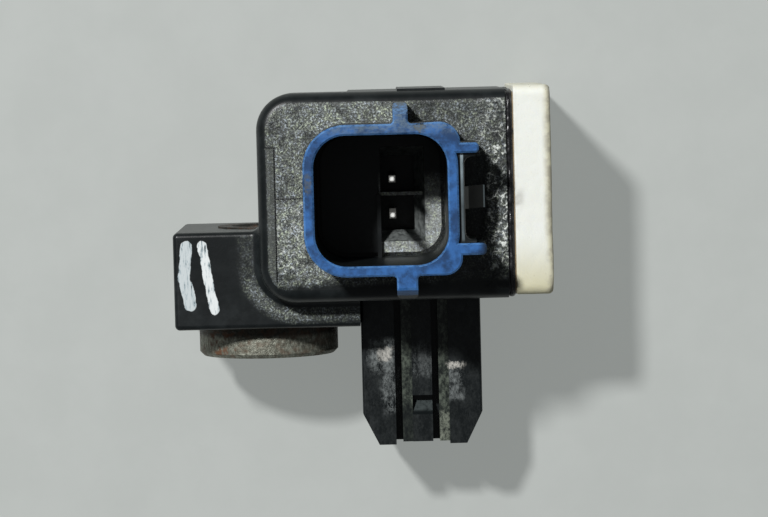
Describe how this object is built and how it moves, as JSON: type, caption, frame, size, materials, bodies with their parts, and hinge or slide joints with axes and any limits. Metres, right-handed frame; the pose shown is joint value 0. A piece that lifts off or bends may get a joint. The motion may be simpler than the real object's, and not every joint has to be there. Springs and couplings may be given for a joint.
{
  "type": "airbag crash sensor",
  "caption": "Small side-impact crash sensor for a car: black moulded box with a two-pin connector, a bolted ear with a steel bush, a locating peg and a white seal pad.",
  "frame": {"origin": "centre of the bush's lower end face, which meets the car, on the bolt axis", "axes": "+Y along the bolt axis towards the bolt's head, +X towards the seal pad, +Z out of the connector's mouth"},
  "size_m": [0.0384, 0.037, 0.031],
  "materials": {
    "housing_plastic": "black glass-filled moulding, satin with a fine sparkle",
    "bush_steel": "turned steel, dull plated, with rust spots",
    "terminal_tin": "tinned square wire",
    "solder": "solder",
    "board_laminate": "green circuit board",
    "cell_ceramic": "fired ceramic",
    "lid_metal": "plated sheet",
    "chip_plastic": "moulded chip body",
    "capacitor_ceramic": "fired ceramic",
    "resistor_ceramic": "glazed film",
    "cover_plastic": "black moulding",
    "sealant": "cured black sealant, glossy",
    "adhesive_film": "tan adhesive film",
    "pad_rubber": "soft white closed-cell rubber, soiled at the edges"
  },
  "bodies": {
    "root": {"housing": "housing_plastic", "mounting_bush": "bush_steel", "terminal_1": "terminal_tin", "terminal_2": "terminal_tin", "solder_joint_1": "solder", "solder_joint_2": "solder", "circuit_board": "board_laminate", "pressure_cell": "cell_ceramic", "cell_lid": "lid_metal", "interface_chip": "chip_plastic", "chip_leads": "lid_metal", "capacitor_1": "capacitor_ceramic", "capacitor_2": "capacitor_ceramic", "capacitor_3": "capacitor_ceramic", "resistor_1": "resistor_ceramic", "resistor_2": "resistor_ceramic", "diode": "chip_plastic", "end_cover": "cover_plastic", "cover_seal": "sealant", "pad_adhesive": "adhesive_film", "seal_pad": "pad_rubber"}
  },
  "joints": []
}
